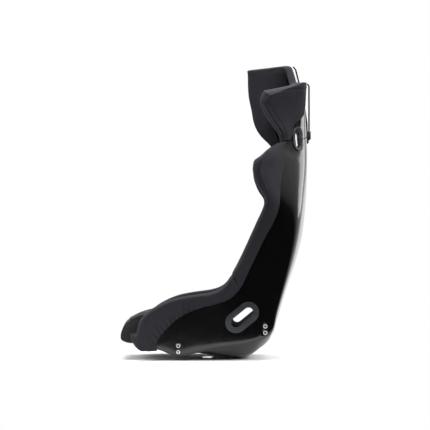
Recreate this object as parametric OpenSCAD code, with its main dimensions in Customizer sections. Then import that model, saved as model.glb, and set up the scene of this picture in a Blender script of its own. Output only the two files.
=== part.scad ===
// Racing bucket seat: a moulded shell with side mounts, belt openings, foam pads and fitted fabric covers.
// The driver faces -Y and +X is the driver's left. The head wing on the driver's right is the taller one.

/* [Overall size] */
// Height of the tall head wing above the floor
seat_height = 991; // [810:1:1190]
// Distance between the front and rear mounting holes on one side, which sets the length of the base
mount_pitch = 290; // [240:1:350]
// Width between the two flat side faces that the mounts sit on
hip_width = 410; // [340:1:500]
// Width of the shell over the shoulder wings
shoulder_width = 540; // [450:1:650]
// Width of the shell over the front edges of the head wings
head_width = 404; // [336:1:490]

/* [Shell] */
// Thickness of the moulded laminate
shell_wall = 4; // [3:0.5:6]
// Width of the flat part of the upper back
spine_width = 228; // [190:1:275]
// Width of the keel under the base
keel_width = 296; // [240:1:340]

/* [Side mounts] */
// Radius of each mounting hole
hole_r = 4; // [3:0.1:5]
// Outer radius of each threaded insert
insert_r = 6.4; // [5.5:0.1:8]
// Distance between the two holes of a pair
hole_spacing = 20.5; // [18:0.5:25]
// Thickness of the steel plates behind the inserts
plate_t = 3; // [2:0.5:5]

/* [Belt openings] */
// Half width of the lap belt opening
lap_r = 15.5; // [12:0.5:19]
// Distance between the end centres of the lap belt opening
lap_length = 53; // [40:1:64]
// Width of the flange around the lap belt opening
lap_flange = 19; // [14:0.5:23]
// Half width of the shoulder belt opening
harness_r = 13; // [10:0.5:16]
// Distance between the end centres of the shoulder belt opening
harness_length = 36; // [28:1:44]
// Width of the flange around the shoulder belt opening
harness_flange = 9; // [7:0.5:11]
// Half width of the crotch belt opening
crotch_r = 14; // [10:0.5:18]
// Distance between the end centres of the crotch belt opening
crotch_length = 52; // [40:1:64]
// Width of the flange around the crotch belt opening
crotch_flange = 9; // [6:0.5:12]
// Thickness of the flanges of the belt opening trims
trim_t = 3.6; // [2.5:0.1:5]
// Thickness of the sleeves of the belt opening trims
sleeve_t = 2.4; // [1.6:0.1:3]

/* [Soft parts] */
// Foam and fabric outside the shell along its edge
cover_out = 9; // [6:0.5:12]
// Foam and fabric inside the shell along its edge
cover_in = 20; // [14:0.5:24]
// Thickness of the hem at the end of each cover
hem_t = 3; // [2:0.5:5]
// Thickness of the base cushion
seat_foam = 44; // [34:1:54]
// Thickness of the lumbar and back cushions
back_foam = 30; // [22:1:38]
// Thickness of the cushion behind the head
head_foam = 36; // [26:1:44]
// Width of the leg cushion in front
leg_width = 316; // [250:1:330]
// Width of the elastic straps that hold the head cover
strap_w = 9; // [6:0.5:12]
// Thickness of the elastic straps
strap_t = 2; // [1.5:0.1:3]

/* [Hidden] */
$fn = 48;
left = 1;
right = -1;
fit = 0.4;                          // clearance between the shell and what is fixed flat to it
pad_gap = 1.4;                      // room for the hook strips between the shell and the cushions
cover_gap = 2.2;                    // clearance between the shell and the covers that wrap its edge
sy = mount_pitch / 290;             // how far the side outline is stretched fore and aft
sz = seat_height / 991;             // how far the side outline is stretched upwards
hip_x = hip_width / 2;
shoulder_x = shoulder_width / 2;
head_x = head_width / 2;
keel_x = keel_width / 2;
spine_x = spine_width / 2;

function mix(a, b, f) = a + (b - a) * f;
function unit(v) = v / norm(v);

// ---- The shell's lines in the side view, as [y, z], from the front of the base round to the top of the head.
// Entry k of every list belongs to section k, and sections 18 to 23 are the neck and the head.
rim_low = [[-238, 94], [-222, 132], [-185, 164], [-130, 188], [-70, 201], [-15, 208], [26, 224], [52, 252],
    [73, 288], [99, 340], [124, 395], [150, 450], [170, 492], [175, 530], [158, 572], [145, 618], [156, 661],
    [189, 692]];
corner_low = [[-226, 38], [-186, 34], [-150, 20], [-112, 10], [-55, 25], [20, 43], [95, 54], [155, 71],
    [190, 94], [201, 148], [227, 235], [252, 325], [272, 406], [284, 480], [294, 560], [301, 624], [302, 672],
    [301, 710]];
middle_low = [[-212, 82], [-180, 72], [-140, 60], [-95, 44], [-40, 19], [35, 5.5], [106, 1], [149, 36],
    [186, 72], [209, 138], [237, 230], [268, 320], [290, 406], [299, 485], [304, 555], [306, 620], [307, 670],
    [306, 710]];
rim_head_left = [[226, 714], [219, 748], [194, 782], [172, 816], [165, 842], [180, 864]];
rim_head_right = [[199, 716], [166, 748], [144, 785], [133, 840], [123, 900], [122, 962]];
corner_head_left = [[299, 738], [298, 766], [298, 798], [298, 832], [298, 868], [296, 902]];
corner_head_right = [[299, 740], [298, 772], [294, 816], [284, 867], [270, 924], [249, 978]];
middle_head = [[304, 740], [303, 767], [301, 798], [298, 830], [295, 862], [291, 892]];

// ---- Half widths at the same sections.
rim_x = [for (k = [0:23]) k < 10 ? hip_x + 5 + 1.8 * k
    : k < 17 ? mix(hip_x, shoulder_x, [0.37, 0.46, 0.57, 0.7, 0.87, 1, 0.9][k - 10])
    : mix(spine_x, head_x, [1.1, 0.64, 0.68, 0.8, 0.92, 1, 1][k - 17])];
corner_x = [for (k = [0:23]) k < 13 ? hip_x
    : k < 16 ? mix(spine_x, hip_x, [0.85, 0.42, 0.1][k - 13]) : spine_x + 2 * max(0, k - 18)];
keel_in = [for (k = [0:23]) k < 12 ? keel_x : mix(spine_x - 62, keel_x, max(0, 1 - (k - 11) / 4))];
corner_round = [for (k = [0:23]) k < 9 ? 7 : min(26, 7 + 4 * (k - 8))];
side_bow = [for (k = [0:23]) k < 9 ? 0 : min(0.6, 0.15 * (k - 8))];

function place(x, yz) = [x, yz[0] * sy, yz[1] * sz];
function line3(xs, yzs) = [for (k = [0:23]) place(xs[k], yzs[k])];
rim = [line3(rim_x, concat(rim_low, rim_head_left)), line3(rim_x, concat(rim_low, rim_head_right))];
corner = [line3(corner_x, concat(corner_low, corner_head_left)),
    line3(corner_x, concat(corner_low, corner_head_right))];
middle = [for (yz = concat(middle_low, middle_head)) place(0, yz)];

// ---- The shell's outer surface. t runs along the sections, 0 to 23. s runs across, 0 in the middle,
// 0.28 at the keel, 0.51 at the corner and 1 at the edge, and it is negative on the driver's right.
top_t = 23;
edge_s = 1;
corner_s = 0.58;
keel_round = 24;
function curve(a, b, c, d, u) = 0.5 * (2 * b + (c - a) * u + (2 * a - 5 * b + 4 * c - d) * u * u
    + (3 * b - a - 3 * c + d) * u * u * u);
function along(pts, t) = let (last = len(pts) - 1, k = min(max(floor(t), 0), last - 1))
    curve(pts[max(k - 1, 0)], pts[k], pts[k + 1], pts[min(k + 2, last)], t - k);
function bend(a, b, c, u) = mix(mix(a, b, u), mix(b, c, u), u);
function half_at(t, s, side) =
    let (m = along(middle, t), c = along(corner[side], t), r = along(rim[side], t),
        keel = [along(keel_in, t), mix(m[1], c[1], 0.5), mix(m[2], c[2], 0.1)],
        bow = concat([mix(c[0], r[0], along(side_bow, t))], [for (i = [1, 2]) mix(c[i], r[i], 0.55)]),
        c_r = along(corner_round, t),
        keel_1 = keel + unit(m - keel) * keel_round, keel_2 = keel + unit(c - keel) * keel_round,
        corner_1 = c + unit(keel - c) * c_r, corner_2 = c + unit(bow - c) * c_r)
    s < 0.22 ? mix(m, keel_1, s / 0.22)
    : s < 0.34 ? bend(keel_1, keel, keel_2, (s - 0.22) / 0.12)
    : s < 0.44 ? mix(keel_2, corner_1, (s - 0.34) / 0.1)
    : s < corner_s ? bend(corner_1, c, corner_2, (s - 0.44) / 0.14)
    : bend(corner_2, bow, r, (s - corner_s) / 0.42);
function at(t, s) = s >= 0 ? half_at(t, s, 0) : let (p = half_at(t, -s, 1)) [-p[0], p[1], p[2]];
function normal(t, s) = let (dt = 0.12, ds = 0.03)
    unit(cross(at(min(t + dt, top_t), s) - at(max(t - dt, 0), s),
        at(t, min(s + ds, 1)) - at(t, max(s - ds, -1))));
// A point a distance out from the outer surface, where a negative distance is inside the seat.
function off(t, s, out) = at(t, s) + out * normal(t, s);

// ---- Closed solids between two grids of points.
function quad(a, b, c, d) = [[a, b, c], [a, c, d]];
module slab(outer, inner) {
    rows = len(outer);
    cols = len(outer[0]);
    all = rows * cols;
    faces = [
        for (i = [0:rows - 2], j = [0:cols - 2]) let (a = i * cols + j)
            each concat(quad(a, a + 1, a + cols + 1, a + cols),
                quad(all + a, all + a + cols, all + a + cols + 1, all + a + 1)),
        for (j = [0:cols - 2]) let (b = (rows - 1) * cols + j)
            each concat(quad(j + 1, j, all + j, all + j + 1), quad(b, b + 1, all + b + 1, all + b)),
        for (i = [0:rows - 2]) let (a = i * cols, b = i * cols + cols - 1)
            each concat(quad(a, a + cols, all + a + cols, all + a),
                quad(b + cols, b, all + b, all + b + cols))];
    polyhedron(points = concat([for (r = outer) each r], [for (r = inner) each r]), faces = faces);
}

half_grid = [0, 0.11, 0.22, 0.28, 0.34, 0.44, 0.51, 0.58, 0.69, 0.8, 0.9, 1];
s_grid = concat([for (i = [11:-1:1]) -half_grid[i]], half_grid);
t_grid = [for (i = [0:2 * top_t]) i / 2];
// A sheet that follows the shell from one distance to another, over a range of t and of s.
module sheet(t_from, t_to, s_from, s_to, far, near) {
    ts = concat([t_from], [for (t = t_grid) if (t > t_from && t < t_to) t], [t_to]);
    ss = [for (s = s_grid) if (s >= s_from && s <= s_to) s];
    slab([for (t = ts) [for (s = ss) off(t, s, far)]], [for (t = ts) [for (s = ss) off(t, s, near)]]);
}

// A cover that wraps the edge of the shell. Each entry of the path is one cut across it: t and s on the edge,
// t and s at the outer hem, t and s at the inner hem, and how far the cover rolls past the edge.
cuts = [0, 0.25, 0.5, 0.75, 1];
backwards = [1, 0.75, 0.5, 0.25, 0];
// Across the front edge of the base, the inside of a cover starts above the round of the shell's corner.
first_s = 0.47;
inner_first_s = 0.78;
function inner_s(p) = p[0] < 1 ? edge_s - (edge_s - p[1]) * (edge_s - inner_first_s) / (edge_s - first_s) : p[1];
function path_off(p, k, f, side, out) =
    off(mix(p[k], p[0], f), side * mix(p[k + 1], k == 4 ? inner_s(p) : p[1], f), out);
function edge_off(p, side, out, past) =
    let (mid = -shell_wall / 2, d = unit(path_off(p, 2, 1, side, mid) - path_off(p, 2, 0.8, side, mid)))
    off(p[0], side * (out < mid ? inner_s(p) : p[1]), out) + d * past;
function fullness(p) = min(1, p[6] / 12);
function cover_outer(p, side) = let (far = cover_out * fullness(p), near = cover_in * fullness(p)) concat(
    [for (f = cuts) path_off(p, 2, f, side, cover_gap + mix(hem_t, far, min(1, f * 1.6)))],
    [edge_off(p, side, cover_gap + far * 0.8, p[6] * 0.6),
        edge_off(p, side, (far - near - shell_wall) / 2, p[6]),
        edge_off(p, side, -shell_wall - cover_gap - near * 0.8, p[6] * 0.6)],
    [for (f = backwards) path_off(p, 4, f, side, -shell_wall - cover_gap - mix(hem_t, near, min(1, f * 2.4)))]);
function cover_pocket(p, side) = concat(
    [for (f = cuts) path_off(p, 2, f, side, cover_gap)],
    [edge_off(p, side, cover_gap, edge_gap), edge_off(p, side, -shell_wall / 2, edge_gap * 1.1),
        edge_off(p, side, -shell_wall - cover_gap, edge_gap)],
    [for (f = backwards) path_off(p, 4, f, side, -shell_wall - cover_gap)]);
edge_gap = 3;
module cover(path, side) {
    stations = [for (u = [0:0.5:len(path) - 1]) along(path, u)];
    outside = [for (p = stations) cover_outer(p, side)];
    pocket = [for (p = stations) cover_pocket(p, side)];
    if (side == left) slab(outside, pocket);
    else slab(pocket, outside);
}

// ---- Shell
module shell() {
    color([0.03, 0.03, 0.035]) difference() {
        sheet(0, top_t, -1, 1, 0, -shell_wall);
        for (side = [left, right]) {
            lap_prism(side, lap_r + sleeve_t + fit);
            harness_prism(side, harness_r + sleeve_t + fit);
            for (pair = mount_pairs) for (hole = pair_holes(pair))
                side_cylinder(side, hole, insert_r + fit, hip_x - 3 * shell_wall, 6 * shell_wall);
        }
        crotch_prism(crotch_r + sleeve_t + fit);
    }
}

// ---- Side mounts: two pairs of holes a side, each pair one above the other.
front_pair = [-118 * sy, 38 * sz];
rear_rise = 63.26 * sz;             // how far the rear pair sits above the front pair
rear_pair = front_pair + [sqrt(mount_pitch * mount_pitch - rear_rise * rear_rise), rear_rise];
mount_pairs = [front_pair, rear_pair];
insert_proud = 1.2;
neck_r = 5.2;
plate_width = 38;
plate_foot = 6;
plate_edge = 7.5;
plate_x = hip_x - shell_wall - fit;
function pair_holes(pair) = [for (dz = [-0.5, 0.5]) [pair[0], pair[1] + dz * hole_spacing]];
module side_cylinder(side, hole, r, x, length) {
    translate([side * (x + (side < 0 ? length : 0)), hole[0], hole[1]]) rotate([0, 90, 0])
        cylinder(r = r, h = length);
}
// The plate narrows towards its foot, where the shell's corner turns in.
function plate_outline(w, h) = [[-plate_foot / 2, -h], [plate_foot / 2, -h], [w, -h + w - plate_foot / 2],
    [w, h], [-w, h], [-w, -h + w - plate_foot / 2]];
module mount_plate(side, pair) {
    height = hole_spacing + 2 * plate_edge;
    color([0.5, 0.5, 0.52]) difference() {
        translate([side * (plate_x - plate_t / 2), pair[0], pair[1]]) rotate([90, 0, 90])
            linear_extrude(plate_t, center = true) polygon(plate_outline(plate_width / 2, height / 2));
        for (hole = pair_holes(pair)) side_cylinder(side, hole, neck_r + 0.1, plate_x - 2 * plate_t, 3 * plate_t);
    }
}
module mount_inserts(side) {
    color([0.8, 0.8, 0.82]) for (pair = mount_pairs) for (hole = pair_holes(pair)) difference() {
        union() {
            side_cylinder(side, hole, insert_r, plate_x, shell_wall + fit + insert_proud);
            side_cylinder(side, hole, neck_r, plate_x - plate_t, plate_t + 1);
        }
        side_cylinder(side, hole, hole_r, plate_x - plate_t - 1, plate_t + shell_wall + fit + insert_proud + 2);
    }
}
module mount_plate_front_left() mount_plate(left, front_pair);
module mount_plate_front_right() mount_plate(right, front_pair);
module mount_plate_rear_left() mount_plate(left, rear_pair);
module mount_plate_rear_right() mount_plate(right, rear_pair);
module mount_inserts_left() mount_inserts(left);
module mount_inserts_right() mount_inserts(right);

// ---- Belt openings: a flange and sleeve outside, and a flange inside that closes on the sleeve.
module stadium(length, r) {
    square([length, 2 * r], center = true);
    for (x = [-0.5, 0.5]) translate([x * length, 0]) circle(r = r);
}
lap_centre = [90 * sy, 141 * sz];
lap_tilt = 39;
prism_depth = 90;
module lap_prism(side, r, depth = prism_depth) {
    translate([side * hip_x, lap_centre[0], lap_centre[1]]) rotate([90, 0, 90])
        linear_extrude(depth, center = true) rotate(lap_tilt) stadium(lap_length, r);
}
harness_t = 17.8;
harness_s = 0.645;
module harness_prism(side, r, depth = prism_depth / 2) {
    n = normal(harness_t, side * harness_s);
    translate(at(harness_t, side * harness_s)) rotate([0, 0, atan2(n[1], n[0])]) rotate([90, 0, 90])
        linear_extrude(depth, center = true) rotate(90) stadium(harness_length, r);
}
crotch_y = -28 * sy;
crotch_z = 16 * sz;
module crotch_prism(r, depth = prism_depth) {
    translate([0, crotch_y, crotch_z]) linear_extrude(depth, center = true) stadium(crotch_length, r);
}
trim_colour = [0.16, 0.18, 0.2];
// The outer trim: a flange that follows the shell, with a sleeve through the wall.
module lap_trim(side) {
    color(trim_colour) difference() {
        union() {
            intersection() {
                sheet(5, 9, side < 0 ? -0.9 : 0.58, side < 0 ? -0.58 : 0.9, fit + trim_t, fit);
                lap_prism(side, lap_r + lap_flange);
            }
            intersection() {
                sheet(5, 9, side < 0 ? -0.9 : 0.58, side < 0 ? -0.58 : 0.9, fit + trim_t, -shell_wall - fit);
                lap_prism(side, lap_r + sleeve_t);
            }
        }
        lap_prism(side, lap_r);
    }
}
module lap_backing(side) {
    color(trim_colour) difference() {
        intersection() {
            sheet(5, 9, side < 0 ? -0.9 : 0.58, side < 0 ? -0.58 : 0.9, -shell_wall - fit, -shell_wall - fit - trim_t);
            lap_prism(side, lap_r + lap_flange * 0.7);
        }
        lap_prism(side, lap_r);
    }
}
module lap_slot_trim_left() lap_trim(left);
module lap_slot_trim_right() lap_trim(right);
module lap_slot_backing_left() lap_backing(left);
module lap_slot_backing_right() lap_backing(right);

module harness_trim(side) {
    s = side < 0 ? [-1, -0.44] : [0.44, 1];
    color(trim_colour) difference() {
        union() {
            intersection() {
                sheet(15.5, 20, s[0], s[1], fit + trim_t, fit);
                harness_prism(side, harness_r + harness_flange);
            }
            intersection() {
                sheet(15.5, 20, s[0], s[1], fit + trim_t, -shell_wall - fit);
                harness_prism(side, harness_r + sleeve_t);
            }
        }
        harness_prism(side, harness_r);
    }
}
module harness_backing(side) {
    s = side < 0 ? [-1, -0.44] : [0.44, 1];
    color(trim_colour) difference() {
        intersection() {
            sheet(15.5, 20, s[0], s[1], -shell_wall - fit, -shell_wall - fit - trim_t);
            harness_prism(side, harness_r + harness_flange * 0.8);
        }
        harness_prism(side, harness_r);
    }
}
module harness_slot_trim_left() harness_trim(left);
module harness_slot_trim_right() harness_trim(right);
module harness_slot_backing_left() harness_backing(left);
module harness_slot_backing_right() harness_backing(right);

module crotch_slot_trim() {
    color(trim_colour) difference() {
        union() {
            intersection() {
                sheet(3, 5.5, -0.34, 0.34, fit + trim_t, fit);
                crotch_prism(crotch_r + crotch_flange);
            }
            intersection() {
                sheet(3, 5.5, -0.34, 0.34, fit + trim_t, -shell_wall - fit);
                crotch_prism(crotch_r + sleeve_t);
            }
        }
        crotch_prism(crotch_r);
    }
}
module crotch_slot_backing() {
    color(trim_colour) difference() {
        intersection() {
            sheet(3, 5.5, -0.34, 0.34, -shell_wall - fit, -shell_wall - fit - trim_t);
            crotch_prism(crotch_r + crotch_flange);
        }
        crotch_prism(crotch_r);
    }
}

// ---- Cushions inside the shell
fabric = [0.13, 0.12, 0.14];
module cushion(t_from, t_to, s, foam) {
    sheet(t_from, t_to, -s, s, -shell_wall - pad_gap, -shell_wall - foam);
}
module seat_cushion() {
    color(fabric) difference() {
        cushion(3, 6.6, 0.34, seat_foam);
        crotch_prism(crotch_r + crotch_flange + 3, 4 * seat_foam);
    }
}
module lumbar_cushion() color(fabric) cushion(7.4, 10.95, 0.44, back_foam);
module back_cushion() color(fabric) cushion(11.05, 17, 0.44, back_foam);
module head_cushion() color(fabric) cushion(18.5, 22, 0.44, head_foam);

// The leg cushion lies on the front of the base and hangs over its front edge. Its back end stands a small gap
// in front of the base cushion.
leg_gap = 3.2;
leg_back_z = [61, 106];
seat_front = [off(3, 0.28, -shell_wall - pad_gap), off(3, 0.28, -shell_wall - seat_foam)];
leg_back = mix(seat_front[0][1], seat_front[1][1],
    (leg_back_z[0] * sz - seat_front[0][2]) / (seat_front[1][2] - seat_front[0][2])) - leg_gap;
leg_profile = [[-140, 74], [-180, 86], [-214, 97], [-222, 90], [-222, 62], [-230, 54], [-300, 54],
    [-311, 60], [-315, 72], [-314, 86], [-309, 102], [-301, 116], [-291, 128], [-276, 140], [-257, 149],
    [-235, 155], [-205, 157], [-170, 151], [-135, 134]];
module leg_cushion() {
    color(fabric) rotate([90, 0, 90]) linear_extrude(leg_width, center = true)
        polygon(concat([[leg_back, leg_back_z[0] * sz]], [for (p = leg_profile) [p[0] * sy, p[1] * sz]],
            [[leg_back, leg_back_z[1] * sz]]));
}

// ---- Covers that wrap the edge of the shell
thigh_path = [
    [0, first_s, 1, 0.5, 0.9, 0.78, 40], [0, 0.6, 1.05, 0.58, 0.9, 0.785, 40], [0, 0.8, 1.2, 0.66, 1, 0.79, 35],
    [0, 0.95, 1.6, 0.73, 1.3, 0.785, 30], [0.5, 1, 2.2, 0.79, 1.8, 0.76, 24], [1.4, 1, 2.6, 0.83, 2.3, 0.73, 19],
    [2.4, 1, 3.1, 0.868, 2.9, 0.71, 16], [3.4, 1, 3.7, 0.895, 3.6, 0.7, 14], [4.4, 1, 4.5, 0.918, 4.4, 0.68, 13],
    [5.4, 1, 5.4, 0.927, 5.4, 0.83, 13], [6.4, 1, 6.4, 0.923, 6.4, 0.84, 13], [7.4, 1, 7.4, 0.92, 7.4, 0.84, 13]];
back_path = [
    [7.6, 1, 7.6, 0.92, 7.6, 0.84, 13], [8.6, 1, 8.6, 0.92, 8.6, 0.83, 13], [9.6, 1, 9.6, 0.91, 9.6, 0.83, 13],
    [10.4, 1, 10.4, 0.9, 10.4, 0.6, 13], [11.4, 1, 11.4, 0.88, 11.4, 0.58, 13], [12.4, 1, 12.4, 0.862, 12.4, 0.58, 13],
    [13.4, 1, 13.4, 0.835, 13.4, 0.58, 13], [14.4, 1, 14.4, 0.8, 14.4, 0.58, 13], [15.4, 1, 15.4, 0.78, 15.4, 0.64, 13],
    [16.3, 1, 16.3, 0.81, 16.3, 0.84, 12], [17, 1, 17, 0.85, 17, 0.87, 11], [17.7, 1, 17.7, 0.9, 17.7, 0.91, 9]];
head_path = [
    [18.1, 1, 18, 0.87, 18.1, 0.9, 9], [18.9, 1, 18.6, 0.8, 18.9, 0.86, 11], [19.8, 1, 19.2, 0.75, 19.6, 0.8, 12],
    [20.8, 1, 19.6, 0.66, 20.2, 0.66, 12], [21.8, 1, 19.9, 0.57, 20.8, 0.62, 12], [22.7, 1, 20.3, 0.53, 21.3, 0.6, 12], [23, 1, 20.6, 0.52, 21.5, 0.6, 12],
    [23, 0.93, 20.9, 0.51, 21.8, 0.59, 12], [23, 0.82, 21.5, 0.5, 22.1, 0.58, 11], [23, 0.7, 22, 0.49, 22.3, 0.57, 10],
    [23, 0.58, 22.3, 0.48, 22.4, 0.54, 7], [23, 0.51, 22.5, 0.46, 22.5, 0.48, 6], [23, 0.44, 22.5, 0.43, 22.5, 0.43, 6],
    [23, 0.34, 22.5, 0.34, 22.5, 0.34, 6]];
top_path = [for (s = [0.31:-0.1033:-0.32]) [23, s, 22.5, s, 22.5, s, 9]];
module thigh_cover_left() color(fabric) cover(thigh_path, left);
module thigh_cover_right() color(fabric) cover(thigh_path, right);
module back_cover_left() color(fabric) cover(back_path, left);
module back_cover_right() color(fabric) cover(back_path, right);
module head_cover_left() color(fabric) cover(head_path, left);
module head_cover_right() color(fabric) cover(head_path, right);
module head_cover_top() color(fabric) cover(top_path, left);

// ---- Elastic straps from the head cover down to the shoulder belt openings
strap_x = spine_x + 19;
strap_route_left = [[304, 906], [309, 897], [309, 720]];
strap_route_right = [[262, 984], [270, 974], [289, 898], [302, 834], [308, 790], [309, 756], [309, 720]];
function strap_route(side) = [for (p = side < 0 ? strap_route_right : strap_route_left) [p[0] * sy, p[1] * sz]];
buckle_size = [strap_w + 8, 12, 26];
module cover_strap(side) {
    route = strap_route(side);
    color([0.06, 0.06, 0.07]) translate([side * strap_x, 0, 0]) rotate([90, 0, 90])
        linear_extrude(strap_w, center = true) polygon(concat(
            [for (p = route) p + [strap_t / 2, 0]],
            [for (i = [len(route) - 1:-1:0]) route[i] - [strap_t / 2, 0]]));
}
module strap_buckle(side) {
    centre = [side * strap_x, 309 * sy, 736 * sz];
    color([0.04, 0.04, 0.045]) difference() {
        translate(centre) cube(buckle_size, center = true);
        translate(centre) cube([strap_w + 1.2, strap_t + 5, buckle_size[2] + 2], center = true);
    }
}
module cover_strap_left() cover_strap(left);
module cover_strap_right() cover_strap(right);
module strap_buckle_left() strap_buckle(left);
module strap_buckle_right() strap_buckle(right);

shell();
mount_plate_front_left();
mount_plate_front_right();
mount_plate_rear_left();
mount_plate_rear_right();
mount_inserts_left();
mount_inserts_right();
lap_slot_trim_left();
lap_slot_trim_right();
lap_slot_backing_left();
lap_slot_backing_right();
harness_slot_trim_left();
harness_slot_trim_right();
harness_slot_backing_left();
harness_slot_backing_right();
crotch_slot_trim();
crotch_slot_backing();
seat_cushion();
leg_cushion();
lumbar_cushion();
back_cushion();
head_cushion();
thigh_cover_left();
thigh_cover_right();
back_cover_left();
back_cover_right();
head_cover_left();
head_cover_right();
head_cover_top();
cover_strap_left();
cover_strap_right();
strap_buckle_left();
strap_buckle_right();
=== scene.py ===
# Racing bucket seat: gloss shell, fabric covers round its edge, cushions, belt slots, straps and side mounts.
import math
import bmesh
import bpy
import numpy as np
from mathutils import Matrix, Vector, noise
from mathutils.bvhtree import BVHTree


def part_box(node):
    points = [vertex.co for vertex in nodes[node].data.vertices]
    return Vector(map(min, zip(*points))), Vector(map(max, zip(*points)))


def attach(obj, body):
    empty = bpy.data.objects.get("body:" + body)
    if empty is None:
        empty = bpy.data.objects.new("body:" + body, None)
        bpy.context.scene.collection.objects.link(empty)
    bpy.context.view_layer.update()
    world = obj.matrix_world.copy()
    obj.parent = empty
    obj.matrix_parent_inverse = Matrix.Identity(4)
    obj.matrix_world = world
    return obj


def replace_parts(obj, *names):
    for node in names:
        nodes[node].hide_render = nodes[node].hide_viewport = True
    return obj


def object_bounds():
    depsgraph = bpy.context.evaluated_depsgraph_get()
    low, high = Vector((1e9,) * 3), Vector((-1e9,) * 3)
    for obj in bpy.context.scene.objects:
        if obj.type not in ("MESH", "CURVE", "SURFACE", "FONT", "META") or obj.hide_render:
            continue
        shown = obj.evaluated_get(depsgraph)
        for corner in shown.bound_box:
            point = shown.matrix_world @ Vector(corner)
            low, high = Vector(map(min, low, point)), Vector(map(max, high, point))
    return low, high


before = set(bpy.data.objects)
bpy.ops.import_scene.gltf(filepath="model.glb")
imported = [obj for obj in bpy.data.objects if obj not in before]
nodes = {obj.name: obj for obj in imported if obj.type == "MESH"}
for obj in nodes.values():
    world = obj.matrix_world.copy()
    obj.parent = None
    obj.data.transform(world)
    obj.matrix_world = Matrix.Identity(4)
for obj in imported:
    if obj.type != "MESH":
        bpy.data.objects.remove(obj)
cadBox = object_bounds()
scene = bpy.context.scene
scene.view_settings.view_transform = "Standard"
mm = 0.001
left, right = 1, -1
sideNames = {left: "left", right: "right"}
print("frame loaded,", len(nodes), "CAD nodes")


# camera, lights and floor
cameraSetup = {"place": (6.81, 0.141, 0.409), "target": (0.21, 0.0016, 0.474), "lens": 170, "sensor": 36}
lightSetup = {
    "top": {"place": (-0.2, 0.1, 3.0), "aim": (0, 0.05, 0.4), "size": 2.6, "energy": 120},
    "frontLeft": {"place": (2.6, -2.7, 2.3), "aim": (0.1, 0, 0.5), "size": 1.7, "energy": 84},
    "rearLeft": {"place": (2.5, 2.4, 2.4), "aim": (0.1, 0.1, 0.6), "size": 1.5, "energy": 92},
    "behind": {"place": (-1.2, 3.0, 1.5), "aim": (0, 0.1, 0.4), "size": 1.8, "energy": 44},
}
studioSetup = {"paper": (1.0, 1.0, 1.0), "dark": 0.02, "bright": 1.0, "darkFrom": -0.25, "darkTo": 0.4,
               "floorRadius": 0.62, "floorColour": (0.97, 0.97, 0.97), "floorDrop": 0.3}


def aimAt(obj, place, target):
    obj.location = place
    obj.rotation_euler = (Vector(target) - Vector(place)).to_track_quat("-Z", "Y").to_euler()


camera = bpy.data.objects.new("sideCamera", bpy.data.cameras.new("sideCamera"))
camera.data.lens = cameraSetup["lens"]
camera.data.sensor_width = cameraSetup["sensor"]
aimAt(camera, cameraSetup["place"], cameraSetup["target"])
scene.collection.objects.link(camera)
scene.camera = camera

for lightName, look in lightSetup.items():
    lamp = bpy.data.lights.new(lightName, "AREA")
    lamp.shape = "SQUARE"
    lamp.size = look["size"]
    lamp.energy = look["energy"]
    lampObject = bpy.data.objects.new(lightName, lamp)
    aimAt(lampObject, look["place"], look["aim"])
    scene.collection.objects.link(lampObject)
print("camera and lights placed")


# node building helpers
def put(tree, kind, inputs=(), **settings):
    node = tree.nodes.new(kind)
    for key, value in settings.items():
        setattr(node, key, value)
    for key, value in dict(inputs).items():
        if isinstance(value, bpy.types.NodeSocket):
            tree.links.new(value, node.inputs[key])
        else:
            node.inputs[key].default_value = value
    return node


def math1(tree, operation, a, b=0.0):
    return put(tree, "ShaderNodeMath", {0: a, 1: b}, operation=operation).outputs[0]


def blendColour(tree, factor, a, b):
    return put(tree, "ShaderNodeMix", {0: factor, 6: a, 7: b}, data_type="RGBA").outputs[2]


def blendValue(tree, factor, a, b):
    return put(tree, "ShaderNodeMix", {0: factor, 2: a, 3: b}, data_type="FLOAT").outputs[0]


def stretch(tree, value, low, high, outLow=0.0, outHigh=1.0):
    return put(tree, "ShaderNodeMapRange", {0: value, 1: low, 2: high, 3: outLow, 4: outHigh}).outputs[0]


def noiseOf(tree, vector, scale, detail=2.0):
    return put(tree, "ShaderNodeTexNoise", {"Vector": vector, "Scale": scale, "Detail": detail}).outputs[0]


def newGroup(name, inputs, outputs):
    tree = bpy.data.node_groups.new(name, "ShaderNodeTree")
    for label, value in inputs.items():
        kind = "NodeSocketVector" if value is None else "NodeSocketFloat"
        socket = tree.interface.new_socket(label, in_out="INPUT", socket_type=kind)
        if value is not None:
            socket.default_value = value
    for label in outputs:
        tree.interface.new_socket(label, in_out="OUTPUT", socket_type="NodeSocketFloat")
    return tree, tree.nodes.new("NodeGroupInput").outputs, tree.nodes.new("NodeGroupOutput")


def placeGroup(tree, group, inputs):
    node = tree.nodes.new("ShaderNodeGroup")
    node.node_tree = group
    for key, value in inputs.items():
        if isinstance(value, bpy.types.NodeSocket):
            tree.links.new(value, node.inputs[key])
        else:
            node.inputs[key].default_value = value
    return node.outputs


# shared effects
def makeWeave():
    # two sets of threads that pass over and under each other
    tree, given, out = newGroup("threadWeave", {"Vector": None, "Threads": 700.0}, ["Height", "Gap"])
    scaled = put(tree, "ShaderNodeVectorMath", {0: given["Vector"], 3: given["Threads"]}, operation="SCALE")
    axes = put(tree, "ShaderNodeSeparateXYZ", {0: scaled.outputs[0]}).outputs
    humps = [math1(tree, "ABSOLUTE", math1(tree, "SINE", math1(tree, "MULTIPLY", axes[i], math.pi)))
             for i in range(2)]
    floors = [math1(tree, "FLOOR", axes[i]) for i in range(2)]
    over = math1(tree, "PINGPONG", math1(tree, "ADD", floors[0], floors[1]), 1.0)
    height = blendValue(tree, over, humps[0], humps[1])
    tree.links.new(height, out.inputs["Height"])
    # Gap marks where both threads dip, which the fabric darkens as painted shade
    both = math1(tree, "MULTIPLY", humps[0], humps[1])
    tree.links.new(stretch(tree, both, 0.0, 0.35, 1.0, 0.0), out.inputs["Gap"])
    return tree


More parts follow.
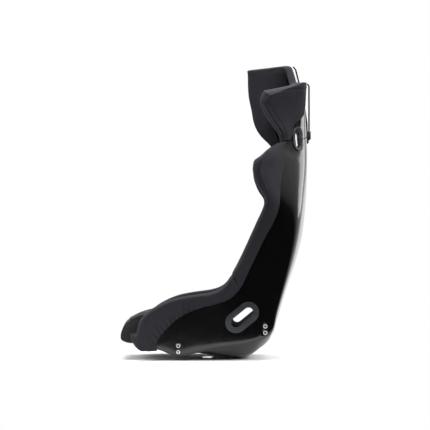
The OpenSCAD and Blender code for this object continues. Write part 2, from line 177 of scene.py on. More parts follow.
def makeTone():
    # slow change of tone over a surface, with a finer mottle in it
    tree, given, out = newGroup("slowTone", {"Vector": None, "Scale": 7.0, "Fine": 90.0}, ["Tone", "Mottle"])
    slow = noiseOf(tree, given["Vector"], given["Scale"])
    fine = noiseOf(tree, given["Vector"], given["Fine"], 3.0)
    tree.links.new(stretch(tree, slow, 0.3, 0.7), out.inputs["Tone"])
    tree.links.new(stretch(tree, fine, 0.3, 0.75), out.inputs["Mottle"])
    return tree


def makeDust():
    # dust and lint that settle where a surface looks up
    tree, given, out = newGroup("settledDust", {"Vector": None, "Scale": 40.0, "Amount": 0.3}, ["Mask"])
    normal = put(tree, "ShaderNodeNewGeometry").outputs["Normal"]
    up = put(tree, "ShaderNodeSeparateXYZ", {0: normal}).outputs[2]
    specks = stretch(tree, noiseOf(tree, given["Vector"], given["Scale"], 6.0), 0.42, 0.75)
    facing = stretch(tree, up, 0.1, 1.0)
    mask = math1(tree, "MULTIPLY", math1(tree, "MULTIPLY", specks, facing), given["Amount"])
    tree.links.new(mask, out.inputs["Mask"])
    return tree


def makeEdgeWearAndHighlight():
    # edges lightened: rubbed by hands and belts on most parts, and a painted highlight round the slot trims
    # and piping
    tree, given, out = newGroup("rubbedAndHighlitEdges", {"Vector": None, "Scale": 60.0, "Amount": 0.5}, ["Mask"])
    sharp = stretch(tree, put(tree, "ShaderNodeNewGeometry").outputs["Pointiness"], 0.52, 0.62)
    broken = stretch(tree, noiseOf(tree, given["Vector"], given["Scale"], 4.0), 0.25, 0.6)
    mask = math1(tree, "MULTIPLY", math1(tree, "MULTIPLY", sharp, broken), given["Amount"])
    tree.links.new(mask, out.inputs["Mask"])
    return tree


def makePeel():
    # the faint ripple of moulded gelcoat, and fine grain
    tree, given, out = newGroup("mouldedRipple", {"Vector": None, "Ripple": 55.0, "Grain": 900.0},
                                ["Ripple", "Grain"])
    tree.links.new(noiseOf(tree, given["Vector"], given["Ripple"], 1.0), out.inputs["Ripple"])
    tree.links.new(noiseOf(tree, given["Vector"], given["Grain"], 2.0), out.inputs["Grain"])
    return tree


weaveGroup, toneGroup, dustGroup = makeWeave(), makeTone(), makeDust()
edgeWearAndHighlightGroup, rippleGroup = makeEdgeWearAndHighlight(), makePeel()


# materials
def startMaterial(name):
    material = bpy.data.materials.new(name)
    material.use_nodes = True
    tree = material.node_tree
    place = put(tree, "ShaderNodeTexCoord").outputs["Object"]
    return material, tree, tree.nodes["Principled BSDF"], place


def grey(value, tint=(1, 1, 1)):
    return (value * tint[0], value * tint[1], value * tint[2], 1.0)


def fabricMaterial(name, look):
    material, tree, shader, place = startMaterial(name)
    cloth = put(tree, "ShaderNodeUVMap", uv_map="clothUv").outputs[0]
    weave = placeGroup(tree, weaveGroup, {"Vector": cloth, "Threads": look["threads"]})
    tone = placeGroup(tree, toneGroup, {"Vector": place, "Scale": 6.0, "Fine": 160.0})
    dust = placeGroup(tree, dustGroup, {"Vector": place, "Scale": 300.0, "Amount": look["lint"]})
    edgeWearAndHighlight = placeGroup(tree, edgeWearAndHighlightGroup, {"Vector": place, "Scale": 80.0, "Amount": look["wearAndHighlight"]})
    base = blendColour(tree, tone["Tone"], look["deep"], look["colour"])
    base = blendColour(tree, math1(tree, "MULTIPLY", tone["Mottle"], 0.35), base, look["light"])
    # the gaps between threads are darkened with painted shade
    base = blendColour(tree, math1(tree, "MULTIPLY", weave["Gap"], look["gap"]), base, look["gapShadeColour"])
    base = blendColour(tree, edgeWearAndHighlight["Mask"], base, look["light"])
    base = blendColour(tree, dust["Mask"], base, look["lintColour"])
    tree.links.new(base, shader.inputs["Base Color"])
    tree.links.new(stretch(tree, tone["Mottle"], 0.0, 1.0, 0.86, 0.97), shader.inputs["Roughness"])
    shader.inputs["Sheen Weight"].default_value = look["sheen"]
    shader.inputs["Sheen Roughness"].default_value = 0.45
    shader.inputs["Sheen Tint"].default_value = look["sheenTint"]
    shader.inputs["Specular IOR Level"].default_value = 0.22
    soft = put(tree, "ShaderNodeBump", {"Height": noiseOf(tree, place, 22.0, 3.0), "Strength": 0.35,
                                        "Distance": look["softFold"]}).outputs[0]
    fine = put(tree, "ShaderNodeBump", {"Height": weave["Height"], "Strength": 0.7,
                                        "Distance": look["threadRise"], "Normal": soft}).outputs[0]
    tree.links.new(fine, shader.inputs["Normal"])
    return material


def hardMaterial(name, look):
    material, tree, shader, place = startMaterial(name)
    tone = placeGroup(tree, toneGroup, {"Vector": place, "Scale": look["toneScale"], "Fine": 240.0})
    dust = placeGroup(tree, dustGroup, {"Vector": place, "Scale": 420.0, "Amount": look["dust"]})
    edgeWearAndHighlight = placeGroup(tree, edgeWearAndHighlightGroup, {"Vector": place, "Scale": 70.0, "Amount": look["wearAndHighlight"]})
    ripple = placeGroup(tree, rippleGroup, {"Vector": place, "Ripple": look["ripple"],
                                            "Grain": look["grain"]})
    base = blendColour(tree, tone["Tone"], look["deep"], look["colour"])
    # edges take the edge colour: wear, and on the trims and piping a painted highlight
    base = blendColour(tree, edgeWearAndHighlight["Mask"], base, look["wearAndHighlightColour"])
    base = blendColour(tree, dust["Mask"], base, look["dustColour"])
    tree.links.new(base, shader.inputs["Base Color"])
    smear = math1(tree, "MULTIPLY", tone["Mottle"], look["smear"])
    rough = math1(tree, "ADD", smear, look["roughness"])
    rough = math1(tree, "ADD", rough, math1(tree, "MULTIPLY", dust["Mask"], 0.4))
    tree.links.new(rough, shader.inputs["Roughness"])
    shader.inputs["Metallic"].default_value = look["metal"]
    shader.inputs["Coat Weight"].default_value = look["coat"]
    shader.inputs["Coat Roughness"].default_value = look["coatRoughness"]
    shader.inputs["Specular IOR Level"].default_value = look["specular"]
    waves = put(tree, "ShaderNodeBump", {"Height": ripple["Ripple"], "Strength": 0.5,
                                         "Distance": look["rippleRise"]}).outputs[0]
    grain = put(tree, "ShaderNodeBump", {"Height": ripple["Grain"], "Strength": 0.5,
                                         "Distance": look["grainRise"], "Normal": waves}).outputs[0]
    tree.links.new(grain, shader.inputs["Normal"])
    return material


purple = (1.03, 0.95, 1.2)
# gap and its colour set how strong and how dark the painted shade between threads is
fabricLook = {"threads": 640.0, "lint": 0.25, "wearAndHighlight": 0.35, "deep": grey(0.0155, purple),
              "colour": grey(0.021, purple), "light": grey(0.032, purple), "gap": 0.55,
              "gapShadeColour": grey(0.006, purple),
              "lintColour": grey(0.09), "sheen": 0.16, "sheenTint": (0.55, 0.5, 0.62, 1), "softFold": 0.0012,
              "threadRise": 0.0006}
materials = {
    "cover": fabricMaterial("coverKnit", fabricLook),
    "cushion": fabricMaterial("cushionKnit", {**fabricLook, "threads": 520.0, "deep": grey(0.017),
                                              "colour": grey(0.0225), "light": grey(0.034),
                                              "gapShadeColour": grey(0.007), "sheenTint": (0.55, 0.55, 0.56, 1)}),
    "strap": fabricMaterial("elasticWebbing", {**fabricLook, "threads": 1300.0, "deep": grey(0.007),
                                               "colour": grey(0.011), "light": grey(0.02), "gap": 0.7,
                                               "sheen": 0.08, "threadRise": 0.0004}),
}
shellLook = {"deep": grey(0.0016, (1, 1, 1.1)), "colour": grey(0.0024, (1, 1, 1.15)),
             "wearAndHighlightColour": grey(0.05), "dustColour": grey(0.2), "dust": 0.06, "wearAndHighlight": 0.3, "toneScale": 5.0,
             "roughness": 0.11, "smear": 0.06, "metal": 0.0, "coat": 0.15, "coatRoughness": 0.04,
             "specular": 0.5, "ripple": 38.0, "grain": 700.0, "rippleRise": 0.0004, "grainRise": 0.00003}
slate = (0.86, 0.97, 1.2)
# on the slot trims the light edge colour is a painted highlight, an outline round every edge, not wear
rubberLook = {**shellLook, "deep": grey(0.013, slate), "colour": grey(0.018, slate),
              "wearAndHighlightColour": grey(0.3, (0.92, 0.98, 1.06)), "dust": 0.15, "wearAndHighlight": 0.9, "roughness": 0.42,
              "smear": 0.12, "coat": 0.0, "ripple": 120.0, "grain": 1500.0, "rippleRise": 0.0002,
              "grainRise": 0.00008}
steelLook = {**shellLook, "deep": grey(0.52), "colour": grey(0.68), "wearAndHighlightColour": grey(0.85),
             "dust": 0.1, "dustColour": grey(0.3), "wearAndHighlight": 0.5, "metal": 1.0, "roughness": 0.24,
             "smear": 0.18, "coat": 0.0, "ripple": 300.0, "grain": 2600.0, "rippleRise": 0.0001,
             "grainRise": 0.00006}
materials.update({
    "shell": hardMaterial("blackGelcoat", shellLook),
    "rubber": hardMaterial("slateRubber", rubberLook),
    "insert": hardMaterial("turnedSteel", {**steelLook, "metal": 0.3, "roughness": 0.4}),
    "plate": hardMaterial("rolledSteel", {**steelLook, "deep": grey(0.3), "colour": grey(0.42),
                                          "roughness": 0.36}),
    "buckle": hardMaterial("buckleNylon", {**rubberLook, "deep": grey(0.009), "colour": grey(0.012),
                                           "wearAndHighlightColour": grey(0.05), "wearAndHighlight": 0.5, "roughness": 0.4}),
    "thread": hardMaterial("bondedThread", {**rubberLook, "deep": grey(0.016, purple),
                                            "colour": grey(0.028, purple), "wearAndHighlightColour": grey(0.05),
                                            "wearAndHighlight": 0.3, "roughness": 0.55}),
    # the piping is painted lighter than the cover, with a lighter edge colour still: a painted highlight
    # along the seam
    "piping": hardMaterial("satinPipingPaintedHighlight", {**rubberLook, "deep": grey(0.05, purple),
                                           "colour": grey(0.08, purple), "wearAndHighlightColour": grey(0.3),
                                           "wearAndHighlight": 0.4, "roughness": 0.34}),
})
print("materials made")


# studio
def makeStudio():
    world = bpy.data.worlds.new("studio")
    world.use_nodes = True
    tree = world.node_tree
    tree.nodes.clear()
    heading = put(tree, "ShaderNodeTexCoord").outputs["Generated"]
    x = put(tree, "ShaderNodeSeparateXYZ", {0: heading}).outputs[0]
    level = stretch(tree, x, studioSetup["darkFrom"], studioSetup["darkTo"], studioSetup["bright"],
                    studioSetup["dark"])
    room = put(tree, "ShaderNodeBackground", {"Color": (1, 1, 1, 1), "Strength": level})
    paper = put(tree, "ShaderNodeBackground", {"Color": (*studioSetup["paper"], 1), "Strength": 1.0})
    seen = put(tree, "ShaderNodeLightPath").outputs["Is Camera Ray"]
    both = put(tree, "ShaderNodeMixShader", {0: seen, 1: room.outputs[0], 2: paper.outputs[0]})
    put(tree, "ShaderNodeOutputWorld", {"Surface": both.outputs[0]})
    scene.world = world
    bm = bmesh.new()
    bmesh.ops.create_circle(bm, cap_ends=True, segments=96, radius=studioSetup["floorRadius"])
    bmesh.ops.translate(bm, verts=bm.verts, vec=(0, 0, cadBox[0].z - studioSetup["floorDrop"] * mm))
    mesh = bpy.data.meshes.new("floor")
    bm.to_mesh(mesh)
    bm.free()
    floor = bpy.data.objects.new("floor", mesh)
    scene.collection.objects.link(floor)
    material, tree, shader, place = startMaterial("paleFloor")
    shader.inputs["Base Color"].default_value = (*studioSetup["floorColour"], 1)
    shader.inputs["Roughness"].default_value = 0.7
    mesh.materials.append(material)


makeStudio()
print("studio made")


# mesh helpers
def copyNode(nodeName, joinDegrees=22, creaseDegrees=55, crease=0.75):
    bm = bmesh.new()
    bm.from_mesh(nodes[nodeName].data)
    bmesh.ops.remove_doubles(bm, verts=bm.verts, dist=0.01 * mm)
    bmesh.ops.join_triangles(bm, faces=bm.faces, angle_face_threshold=math.radians(joinDegrees),
                             angle_shape_threshold=math.radians(70))
    layer = bm.edges.layers.float.get("crease_edge") or bm.edges.layers.float.new("crease_edge")
    for edge in bm.edges:
        if edge.is_manifold and edge.calc_face_angle(0) > math.radians(creaseDegrees):
            edge[layer] = crease
    return bm


def finishMesh(bm, name, material):
    mesh = bpy.data.meshes.new(name)
    bm.to_mesh(mesh)
    bm.free()
    mesh.polygons.foreach_set("use_smooth", [True] * len(mesh.polygons))
    mesh.materials.append(materials[material])
    obj = bpy.data.objects.new(name, mesh)
    scene.collection.objects.link(obj)
    return obj


def addSubsurf(obj, levels):
    modifier = obj.modifiers.new("subdivision", "SUBSURF")
    modifier.levels = modifier.render_levels = levels


def fitSubsurf(obj, levels, turns=2, share=0.6):
    # subdivides with the cage pushed out, so that the smooth surface still passes through its first points
    addSubsurf(obj, levels)
    goal = pointsOf(obj.data)
    for turn in range(turns):
        evaluated = obj.evaluated_get(bpy.context.evaluated_depsgraph_get())
        reached = pointsOf(evaluated.to_mesh())[:len(goal)]
        evaluated.to_mesh_clear()
        setPoints(obj.data, pointsOf(obj.data) + (goal - reached) * share)
        bpy.context.view_layer.update()
    applyModifiers(obj)


def addBevel(obj, width, segments=3, degrees=35):
    modifier = obj.modifiers.new("bevel", "BEVEL")
    modifier.width = width * mm
    modifier.segments = segments
    modifier.limit_method = "ANGLE"
    modifier.angle_limit = math.radians(degrees)
    modifier.harden_normals = False


def applyModifiers(obj):
    bpy.context.view_layer.update()
    evaluated = obj.evaluated_get(bpy.context.evaluated_depsgraph_get())
    mesh = bpy.data.meshes.new_from_object(evaluated)
    obj.modifiers.clear()
    old, obj.data = obj.data, mesh
    bpy.data.meshes.remove(old)
    obj.data.polygons.foreach_set("use_smooth", [True] * len(mesh.polygons))


def pointsOf(mesh):
    values = np.empty(len(mesh.vertices) * 3, np.float32)
    mesh.vertices.foreach_get("co", values)
    return values.reshape(-1, 3).astype(float)


def normalsOf(mesh):
    values = np.empty(len(mesh.vertices) * 3, np.float32)
    mesh.vertex_normals.foreach_get("vector", values)
    return values.reshape(-1, 3).astype(float)


def setPoints(mesh, points):
    mesh.vertices.foreach_set("co", points.astype(np.float32).ravel())
    mesh.update()


def addClothUv(mesh):
    # each face is laid flat along the axis it faces most, so threads keep their real size
    layer = mesh.uv_layers.new(name="clothUv")
    points = pointsOf(mesh)
    corner = np.empty(len(mesh.loops), np.int32)
    mesh.loops.foreach_get("vertex_index", corner)
    facing = np.empty(len(mesh.polygons) * 3, np.float32)
    mesh.polygons.foreach_get("normal", facing)
    counts = np.empty(len(mesh.polygons), np.int32)
    mesh.polygons.foreach_get("loop_total", counts)
    axis = np.repeat(np.abs(facing.reshape(-1, 3)).argmax(1), counts)
    place = points[corner]
    across = np.where(axis == 0, place[:, 1], place[:, 0])
    upward = np.where(axis == 2, place[:, 1], place[:, 2])
    layer.data.foreach_set("uv", np.stack([across, upward], 1).astype(np.float32).ravel())


def resample(line, step):
    # even steps along a line of points
    points = [Vector(p) for p in line]
    out = [points[0].copy()]
    carry = step
    for a, b in zip(points, points[1:]):
        length = (b - a).length
        while carry <= length:
            out.append(a.lerp(b, carry / length))
            carry += step
        carry -= length
    return out


def softened(points, passes=2):
    for turn in range(passes):
        middle = [(a + b * 2 + c) / 4 for a, b, c in zip(points, points[1:], points[2:])]
        points = [points[0]] + middle + [points[-1]]
    return points


def distanceToLine(flat, line):
    # distance of each flat point to a polyline, and how far along it the nearest place is
    best = np.full(len(flat), 1e9)
    along = np.zeros(len(flat))
    start = 0.0
    for a, b in zip(line, line[1:]):
        a, b = np.array(a, float), np.array(b, float)
        d = b - a
        length = np.hypot(*d)
        f = np.clip(((flat - a) @ d) / (length * length), 0, 1)
        gap = np.hypot(*(flat - (a + f[:, None] * d)).T)
        near = gap < best
        best[near] = gap[near]
        along[near] = start + f[near] * length
        start += length
    return best, along


def pressSeams(obj, lines, facing, width=2.4, depth=1.5, columns=(1, 2), axis=0):
    # sinks a narrow valley along each line, on the faces that look along the axis
    mesh = obj.data
    points, normals = pointsOf(mesh), normalsOf(mesh)
    flat = points[:, columns] / mm
    looks = np.clip((normals[:, axis] * facing - 0.15) / 0.3, 0, 1)
    sink = np.zeros(len(points))
    for line in lines:
        gap, along = distanceToLine(flat, line)
        sink = np.maximum(sink, np.exp(-(gap / width) ** 2))
    setPoints(mesh, points - normals * (sink * looks * depth * mm)[:, None])


def surfaceOf(obj):
    bm = bmesh.new()
    bm.from_mesh(obj.data)
    tree = BVHTree.FromBMesh(bm)
    bm.free()
    return tree


def castPoints(tree, line, side, step=4.0, axis=0, far=0.45):
    # carries a flat line onto the surface, looking inwards along an axis from one side
    hits = []
    for p in softened(resample(line, step)):
        origin = Vector((p[0], p[1], p[2])) * mm if len(p) == 3 else Vector((0, p[0], p[1])) * mm
        direction = Vector((0, 0, 0))
        origin[axis] = side * far
        direction[axis] = -side
        place, normal, index, gap = tree.ray_cast(origin, direction)
        if place is not None:
            hits.append((place, normal))
    return hits


def makeTube(name, points, radius, material, sides=3):
    # a round cord through points, closed at its ends
    curve = bpy.data.curves.new(name, "CURVE")
    curve.dimensions = "3D"
    curve.bevel_depth = radius * mm
    curve.bevel_resolution = sides
    curve.use_fill_caps = True
    spline = curve.splines.new("POLY")
    spline.points.add(len(points) - 1)
    for target, p in zip(spline.points, points):
        target.co = (*p, 1)
    carrier = bpy.data.objects.new(name, curve)
    scene.collection.objects.link(carrier)
    bpy.context.view_layer.update()
    mesh = bpy.data.meshes.new_from_object(carrier.evaluated_get(bpy.context.evaluated_depsgraph_get()))
    bpy.data.objects.remove(carrier)
    bpy.data.curves.remove(curve)
    mesh.name = name
    mesh.materials.clear()
    mesh.materials.append(materials[material])
    mesh.polygons.foreach_set("use_smooth", [True] * len(mesh.polygons))
    obj = bpy.data.objects.new(name, mesh)
    scene.collection.objects.link(obj)
    return obj


def makeStitches(name, rows, length=3.4, pitch=5.2, radius=0.42):
    # short raised stitches along rows of surface points
    bm = bmesh.new()
    for row in rows:
        even = resample([p for p, n in row], pitch * mm)
        ups = [n for p, n in row]
        for a, b in zip(even, even[1:]):
            along = (b - a).normalized()
            turn = along.to_track_quat("X", "Z").to_matrix().to_4x4()
            made = bmesh.ops.create_icosphere(bm, subdivisions=1, radius=1.0)["verts"]
            bmesh.ops.scale(bm, verts=made, vec=(length / 2 * mm, radius * mm, radius * mm))
            bmesh.ops.transform(bm, verts=made, matrix=turn)
            nearest = min(range(len(row)), key=lambda i: (row[i][0] - a).length_squared)
            bmesh.ops.translate(bm, verts=made, vec=(a + b) / 2 + ups[nearest] * radius * 0.5 * mm)
    return finishMesh(bm, name, "thread")


def rideRoot(obj):
    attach(obj, "root")
    return obj


# shell
shellSetup = {"levels": 2, "crease": 0.8}


def makeShell():
    bm = copyNode("shell", joinDegrees=14, creaseDegrees=50, crease=shellSetup["crease"])
    shell = finishMesh(bm, "mouldedShell", "shell")
    addSubsurf(shell, shellSetup["levels"])
    applyModifiers(shell)
    rideRoot(shell)
    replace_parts(shell, "shell")
    return shell


shell = makeShell()
print("shell made,", len(shell.data.polygons), "faces")


# covers round the shell's edge
coverSetup = {"levels": 3, "bigFold": 0.9, "bigScale": 11.0, "smallFold": 0.35, "smallScale": 38.0}
headLift = {"rise": 9.0, "from": {left: (830, 900), right: (890, 975)}, "top": (860, 900)}
rucheSetup = {"edge": [(-52, 170), (-65, 165), (-80, 158), (-100, 146), (-120, 131), (-140, 115), (-157, 95),
                       (-170, 78), (-180, 58), (-186, 38)],
              "spacing": 17.0, "width": 3.4, "depth": 8.0, "puff": 2.4, "reach": 60.0, "lean": 0.35}


def softenSurface(obj, big, bigScale, small, smallScale):
    # slack of fabric over foam
    points, normals = pointsOf(obj.data), normalsOf(obj.data)
    moves = np.array([noise.noise(Vector(p) * bigScale) * big + noise.noise(Vector(p) * smallScale) * small
                      for p in points])
    setPoints(obj.data, points + normals * (moves * mm)[:, None])


def rucheHem(obj, side):
    # gathers that run out from the hem, deep at the hem and gone a few centimetres away
    points, normals = pointsOf(obj.data), normalsOf(obj.data)
    flat = points[:, 1:] / mm
    gap, along = distanceToLine(flat, rucheSetup["edge"])
    total = distanceToLine(np.array([rucheSetup["edge"][-1]], float), rucheSetup["edge"])[1][0]
    wander = np.array([noise.noise(Vector((a * 0.021, 3.1, 0))) * 9 for a in along])
    phase = (along + wander + gap * rucheSetup["lean"]) / rucheSetup["spacing"]
    valley = np.exp(-(np.abs(phase - np.round(phase)) * rucheSetup["spacing"] / rucheSetup["width"]) ** 2)
    uneven = np.array([0.75 + 0.7 * noise.noise(Vector((round(p) * 0.73, 9.7, 1.3))) for p in phase])
    reach = rucheSetup["reach"] * (0.75 + 0.5 * np.array([noise.noise(Vector((round(p) * 1.7, 2.2, 5.0)))
                                                          for p in phase]))
    fade = np.clip(1 - gap / reach, 0, 1) ** 1.1
    ends = np.clip(along / 18, 0, 1) * np.clip((total - along) / 10 + 0.25, 0, 1)
    looks = np.clip((normals[:, 0] * side - 0.2) / 0.4, 0, 1)
    move = (1 - valley) * rucheSetup["puff"] * np.clip(gap / 8, 0, 1) - valley * rucheSetup["depth"] * uneven
    setPoints(obj.data, points + normals * (move * fade * ends * looks * mm)[:, None])


def makeCover(nodeName, pieceName):
    bm = copyNode(nodeName, joinDegrees=40, creaseDegrees=62, crease=0.55)
    cover = finishMesh(bm, pieceName, "cover")
    fitSubsurf(cover, coverSetup["levels"])
    softenSurface(cover, coverSetup["bigFold"], coverSetup["bigScale"], coverSetup["smallFold"],
                  coverSetup["smallScale"])
    rideRoot(cover)
    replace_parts(cover, nodeName)
    return cover


covers = {}
for side, sideName in sideNames.items():
    covers["thigh", side] = makeCover(f"thigh_cover_{sideName}", f"thighBolster_{sideName}")
    rucheHem(covers["thigh", side], side)
    covers["back", side] = makeCover(f"back_cover_{sideName}", f"backBolster_{sideName}")
    covers["head", side] = makeCover(f"head_cover_{sideName}", f"headWing_{sideName}")
covers["top", 0] = makeCover("head_cover_top", "headTop")


def liftHead(obj, low, high):
    # the foam stands a little proud of the shell along the top of the head cover
    points = pointsOf(obj.data)
    points[:, 2] += headLift["rise"] * mm * np.clip((points[:, 2] / mm - low) / (high - low), 0, 1)
    setPoints(obj.data, points)


for side in sideNames:
    liftHead(covers["head", side], *headLift["from"][side])
liftHead(covers["top", 0], *headLift["top"])


def closeJoint(first, second, reach=9.0, share=0.56):
    # the ends of two covers are sewn to each other
    surfaces = [surfaceOf(first), surfaceOf(second)]
    for obj, other in ((first, surfaces[1]), (second, surfaces[0])):
        points = pointsOf(obj.data)
        for i, p in enumerate(points):
            place, normal, index, gap = other.find_nearest(Vector(p), reach * mm)
            if place is not None:
                fade = min(1.0, 2.0 * (1 - gap / (reach * mm)))
                points[i] += (np.array(place) - p) * share * fade
        setPoints(obj.data, points)


for side in sideNames:
    closeJoint(covers["thigh", side], covers["back", side])
print("covers made")


# cushions, puffed by a cloth simulation
cushionSetup = {
    "seat_cushion": {"name": "seatPad", "shrink": 2.0, "rise": 7.0, "voxel": 6.0, "look": (0, 0, 1)},
    "leg_cushion": {"name": "legPad", "shrink": 4.0, "rise": 6.0, "voxel": 6.0, "look": (0, -0.6, 0.8)},
    "lumbar_cushion": {"name": "lumbarPad", "shrink": 2.0, "rise": 7.0, "voxel": 6.0, "look": (0, -1, 0.2)},
    "back_cushion": {"name": "backPad", "shrink": 2.0, "rise": 7.0, "voxel": 6.0, "look": (0, -1, 0.2)},
    "head_cushion": {"name": "headPad", "shrink": 2.0, "rise": 6.0, "voxel": 5.0, "look": (0, -1, 0)},
}
padSlack = (0.7, 14.0, 0.25, 45.0)  # large folds in mm and their scale, then the small ones
clothSetup = {"pressure": 4.0, "frames": 18, "quality": 4, "stiffness": 12.0, "bending": 0.4, "behind": 0.6}


def startCushion(nodeName, look):
    bm = copyNode(nodeName, joinDegrees=30, creaseDegrees=180)
    pad = finishMesh(bm, look["name"], "cushion")
    remesh = pad.modifiers.new("voxels", "REMESH")
    remesh.mode = "VOXEL"
    remesh.voxel_size = look["voxel"] * mm
    applyModifiers(pad)
    pad.data.materials.clear()
    pad.data.materials.append(materials["cushion"])
    rest = pointsOf(pad.data)
    setPoints(pad.data, rest - normalsOf(pad.data) * look["shrink"] * mm)
    cloth = pad.modifiers.new("cloth", "CLOTH")
    cloth.settings.quality = clothSetup["quality"]
    cloth.settings.mass = 0.3
    cloth.settings.use_pressure = True
    cloth.settings.uniform_pressure_force = clothSetup["pressure"]
    cloth.settings.effector_weights.gravity = 0
    cloth.settings.tension_stiffness = clothSetup["stiffness"]
    cloth.settings.compression_stiffness = clothSetup["stiffness"]
    cloth.settings.bending_stiffness = clothSetup["bending"]
    cloth.collision_settings.use_collision = False
    cloth.point_cache.frame_end = clothSetup["frames"]
    return pad, rest


def settleCushion(pad, rest, nodeName, look):
    # the puffed shape, held near the foam's own surface: free towards the driver, tight against the shell
    evaluated = pad.evaluated_get(bpy.context.evaluated_depsgraph_get())
    puffed = pointsOf(evaluated.to_mesh())
    evaluated.to_mesh_clear()
    pad.modifiers.clear()
    normals = normalsOf(pad.data)
    facing = normals @ np.array(Vector(look["look"]).normalized())
    free = clothSetup["behind"] + (look["rise"] - clothSetup["behind"]) * np.clip((facing + 0.1) / 0.6, 0, 1)
    move = puffed - rest
    length = np.linalg.norm(move, axis=1) + 1e-9
    outward = (move * normals).sum(1)
    cap = np.where(outward > 0, free, look["shrink"] * 1.6) * mm
    setPoints(pad.data, rest + move * np.minimum(1, cap / length)[:, None])
    addSubsurf(pad, 1)
    applyModifiers(pad)
    softenSurface(pad, *padSlack)
    rideRoot(pad)
    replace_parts(pad, nodeName)


started = {name: startCushion(name, look) for name, look in cushionSetup.items()}
for step in range(1, clothSetup["frames"] + 1):
    scene.frame_set(step)
pads = {}
for name, look in cushionSetup.items():
    settleCushion(*started[name], name, look)
    pads[name] = started[name][0]
scene.frame_set(1)
print("cushions made")


# seams, piping and stitching. Lines are (y, z) in mm in the side view.
seamLines = {
    "wingGusset": [(303, 889), (280, 889), (240, 884), (205, 878), (184, 870), (170, 861), (164, 848),
                   (172, 838), (190, 813), (205, 788), (219, 772), (228, 752), (232, 735)],
    "wingPiping": [(157, 838), (159, 832), (165, 821), (184, 790), (203, 764), (213, 748), (217, 736)],
    "shoulderPanel": [(205, 700), (172, 683), (158, 667), (148, 640), (144, 610), (147, 585), (156, 562),
                      (163, 545), (166, 528), (164, 510), (152, 470), (134, 425), (112, 378), (90, 330),
                      (66, 284), (56, 268)],
    "frontPanel": [(26, 238), (-20, 228), (-70, 222), (-125, 208), (-160, 194), (-196, 166), (-220, 132),
                   (-238, 90), (-246, 55)],
    "frontCross": [(-158, 200), (-146, 182), (-132, 160)],
}
pipingSetup = {"radius": 1.5, "sink": 0.35}
# how wide and how deep each kind of seam is pressed
seamPress = {"gusset": {"width": 2.2, "depth": 1.6}, "piping": {"width": 2.6, "depth": 1.2},
             "panel": {"width": 2.0, "depth": 0.9}, "legPad": {"width": 3.0, "depth": 1.6}}

for side, sideName in sideNames.items():
    if side == left:
        pressSeams(covers["head", side], [seamLines["wingGusset"]], side, **seamPress["gusset"])
        pressSeams(covers["head", side], [seamLines["wingPiping"]], side, **seamPress["piping"])
    pressSeams(covers["back", side], [seamLines["shoulderPanel"]], side, **seamPress["panel"])
    pressSeams(covers["thigh", side], [seamLines["frontPanel"], seamLines["frontCross"]], side,
               **seamPress["panel"])


def pipeOn(obj, line, side, name):
    radius = pipingSetup["radius"]
    hits = castPoints(surfaceOf(obj), line, side)
    points = softened([p + n * radius * pipingSetup["sink"] * mm for p, n in hits], 3)
    return rideRoot(makeTube(name, points, radius, "piping"))


def stitchRow(obj, seam, side, y, z):
    # a row of stitches that runs beside a seam
    return castPoints(surfaceOf(obj), [(p[0] + y, p[1] + z) for p in seamLines[seam]], side)


pipeOn(covers["head", left], seamLines["wingPiping"], left, "wingPiping_left")
for side, sideName in sideNames.items():
    rows = [stitchRow(covers["back", side], "shoulderPanel", side, 5, -2),
            stitchRow(covers["thigh", side], "frontPanel", side, 2, -6)]
    if side == left:
        rows.append(stitchRow(covers["head", side], "wingGusset", side, 4, -4))
    rideRoot(makeStitches(f"coverStitching_{sideName}", [r for r in rows if len(r) > 2]))
print("seams made")

legSeam = {"height": 128, "back": -150, "front": -283, "half": 148, "bend": -250, "past": 300, "across": 200}


def seamLegPad():
    pad = pads["leg_cushion"]
    height, back, bend, across = legSeam["height"], legSeam["back"], legSeam["bend"], legSeam["across"]
    for side in (left, right):
        pressSeams(pad, [[(back, height + 8), (bend, height + 4), (-legSeam["past"], height)]], side,
                   **seamPress["legPad"])
    pressSeams(pad, [[(-across, height), (across, height)]], -1, columns=(0, 2), axis=1,
               **seamPress["legPad"])
    tree = surfaceOf(pad)
    rows = [castPoints(tree, [(side * legSeam["half"], 0, height - 5) for side in (right, left)], -1, axis=1)]
    for side in (left, right):
        rows.append(castPoints(tree, [(back, height + 3), (bend, height - 1), (legSeam["front"], height - 5)],
                               side))
    rideRoot(makeStitches("legPadStitching", rows))


seamLegPad()


# belt slot trims, mounts
trimSetup = {"bevel": 1.3, "segments": 3}
trimNames = [n for n in nodes if "slot_trim" in n or "slot_backing" in n]
for nodeName in trimNames:
    bm = copyNode(nodeName, joinDegrees=4, creaseDegrees=180)
    trim = finishMesh(bm, nodeName.replace("slot", "ring"), "rubber")
    addBevel(trim, trimSetup["bevel"], trimSetup["segments"], degrees=50)
    rideRoot(trim)
    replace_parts(trim, nodeName)


def dressNode(nodeName, material):
    for slot in nodes[nodeName].material_slots:
        slot.material = materials[material]


for nodeName in nodes:
    if "mount_plate" in nodeName:
        dressNode(nodeName, "plate")
    if "mount_inserts" in nodeName:
        dressNode(nodeName, "insert")
print("trims and mounts made")


# straps and buckles
strapSetup = {"step": 6.0, "bevel": 0.9, "swell": 1.6}


def makeStrap(nodeName, pieceName):
    bm = copyNode(nodeName, joinDegrees=1, creaseDegrees=180)
    for turn in range(7):
        longEdges = [e for e in bm.edges if e.calc_length() > strapSetup["step"] * mm]
        if not longEdges:
            break
        bmesh.ops.subdivide_edges(bm, edges=longEdges, cuts=1, use_grid_fill=True)
    for vert in bm.verts:
        vert.normal_update()
    for vert in bm.verts:
        vert.co.y += strapSetup["swell"] * mm * (1 if vert.normal.y > 0 else -1)
    strap = finishMesh(bm, pieceName, "strap")
    addBevel(strap, strapSetup["bevel"], 2, degrees=60)
    applyModifiers(strap)
    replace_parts(rideRoot(strap), nodeName)
    return strap


buckleSetup = {"rim": 2.6, "sunk": 1.6, "round": 0.9, "bar": 1.7, "barHeights": (-0.32, 0.0, 0.32)}


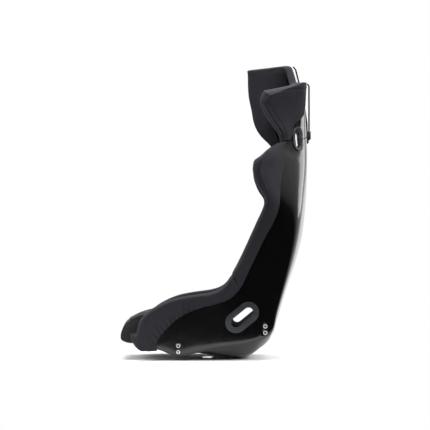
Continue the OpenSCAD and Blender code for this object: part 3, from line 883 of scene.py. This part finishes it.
def makeBuckle(nodeName, pieceName):
    low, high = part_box(nodeName)
    centre, size = (low + high) / 2, high - low
    bm = bmesh.new()
    body = bmesh.ops.create_cube(bm, size=1.0)["verts"]
    bmesh.ops.scale(bm, verts=body, vec=size)
    faces = [f for f in bm.faces if abs(f.normal.y) > 0.9]
    bmesh.ops.inset_individual(bm, faces=faces, thickness=buckleSetup["rim"] * mm,
                               depth=-buckleSetup["sunk"] * mm)
    bmesh.ops.bevel(bm, geom=list(bm.edges), offset=buckleSetup["round"] * mm, offset_type="OFFSET",
                    segments=2, profile=0.5, affect="EDGES", material=-1)
    lying = Vector((1, 0, 0)).to_track_quat("Z", "Y").to_matrix().to_4x4()
    radius = buckleSetup["bar"] * mm
    for height in buckleSetup["barHeights"]:
        bar = bmesh.ops.create_cone(bm, cap_ends=True, segments=16, radius1=radius, radius2=radius,
                                    depth=size.x * 0.8)["verts"]
        bmesh.ops.transform(bm, verts=bar, matrix=lying)
        bmesh.ops.translate(bm, verts=bar, vec=(0, size.y * 0.36, height * size.z))
    bmesh.ops.translate(bm, verts=bm.verts, vec=centre)
    buckle = finishMesh(bm, pieceName, "buckle")
    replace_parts(rideRoot(buckle), nodeName)
    return centre, size


# offsets of the free end from the buckle in mm, and the half width and half thickness of the elastic
tailSetup = {"route": [(2, -13, -9), (4, -24, -13), (4, -34, -14)], "half": (4.5, 1.0), "step": 2.0,
             "bevel": 0.5}


def makeStrapTail(side, sideName, centre, size):
    # the elastic's free end, which runs from the buckle forward into the belt slot
    route = [(centre.x, centre.y - size.y * 0.3, centre.z - size.z * 0.2)]
    for x, y, z in tailSetup["route"]:
        route.append((centre.x + side * x * mm, centre.y + y * mm, centre.z + z * mm))
    points = softened(resample(route, tailSetup["step"] * mm), 3)
    w, t = tailSetup["half"]
    bm = bmesh.new()
    ring = [bm.verts.new(points[0] + Vector((x, 0, z)) * mm) for x, z in ((-w, -t), (w, -t), (w, t), (-w, t))]
    face = bm.faces.new(ring)
    for a, b in zip(points, points[1:]):
        made = bmesh.ops.extrude_face_region(bm, geom=[face])["geom"]
        face = [g for g in made if isinstance(g, bmesh.types.BMFace)][0]
        bmesh.ops.translate(bm, verts=face.verts, vec=b - a)
    bmesh.ops.remove_doubles(bm, verts=bm.verts, dist=0.01 * mm)
    bmesh.ops.recalc_face_normals(bm, faces=bm.faces)
    tail = finishMesh(bm, f"strapTail_{sideName}", "strap")
    addBevel(tail, tailSetup["bevel"], 2, degrees=60)
    applyModifiers(tail)
    rideRoot(tail)
    return tail


strapPieces = []
for side, sideName in sideNames.items():
    strapPieces.append(makeStrap(f"cover_strap_{sideName}", f"headStrap_{sideName}"))
    centre, size = makeBuckle(f"strap_buckle_{sideName}", f"strapBuckle_{sideName}")
    strapPieces.append(makeStrapTail(side, sideName, centre, size))
print("straps made")

for piece in list(covers.values()) + list(pads.values()) + strapPieces:
    addClothUv(piece.data)
